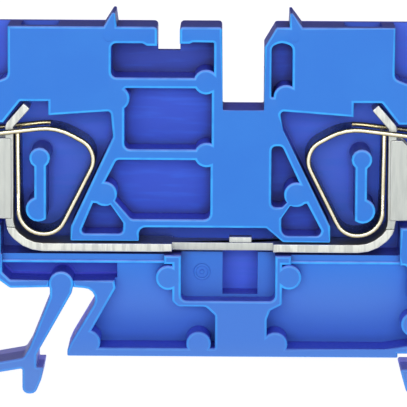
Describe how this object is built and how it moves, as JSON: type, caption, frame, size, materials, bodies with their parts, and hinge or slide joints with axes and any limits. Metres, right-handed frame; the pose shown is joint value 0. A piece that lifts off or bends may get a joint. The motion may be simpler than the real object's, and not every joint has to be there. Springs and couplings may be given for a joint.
{
  "type": "din rail terminal block",
  "caption": "Feed-through terminal block for a 35 mm DIN rail: open-sided moulded housing, current bar, two tension clamp springs and a flexing release foot.",
  "frame": {"origin": "on the rail's centre line, in the plane where the housing sits on the rail's brims, halfway through the block's thickness", "axes": "+X along the block across the rail, towards the fixed claw; +Y from the open side to the closed side, along the rail; +Z away from the rail"},
  "size_m": [0.053, 0.0062, 0.0345],
  "materials": {
    "blue_polyamide": "satin injection-moulded polyamide, through-coloured blue",
    "tinned_copper": "stamped copper with bright tin plating",
    "spring_steel": "bright cold-rolled stainless spring steel with sheared edges"
  },
  "bodies": {
    "housing": {"housing": "blue_polyamide", "current_bar": "tinned_copper", "spring_left_leg": "spring_steel", "spring_right_leg": "spring_steel"},
    "release_foot": {"release_foot": "blue_polyamide"},
    "left_cage": {"spring_left_cage": "spring_steel"},
    "right_cage": {"spring_right_cage": "spring_steel"}
  },
  "joints": [
    {"name": "foot_flex", "type": "hinge", "parent": "housing", "child": "release_foot", "pos_m": [-0.01541, 0, 0.00656], "axis": [0, 1, 0], "range_deg": [0, 9], "stiffness_Nm_per_rad": 0.001},
    {"name": "left_clamp", "type": "hinge", "parent": "housing", "child": "left_cage", "pos_m": [-0.01519, 0, 0.01212], "axis": [0, -1, 0], "range_deg": [0, 13], "stiffness_Nm_per_rad": 0.0005, "springref_deg": -9.74},
    {"name": "right_clamp", "type": "hinge", "parent": "housing", "child": "right_cage", "pos_m": [0.00929, 0, 0.01212], "axis": [0, 1, 0], "range_deg": [0, 13], "stiffness_Nm_per_rad": 0.0005, "springref_deg": -9.74}
  ]
}
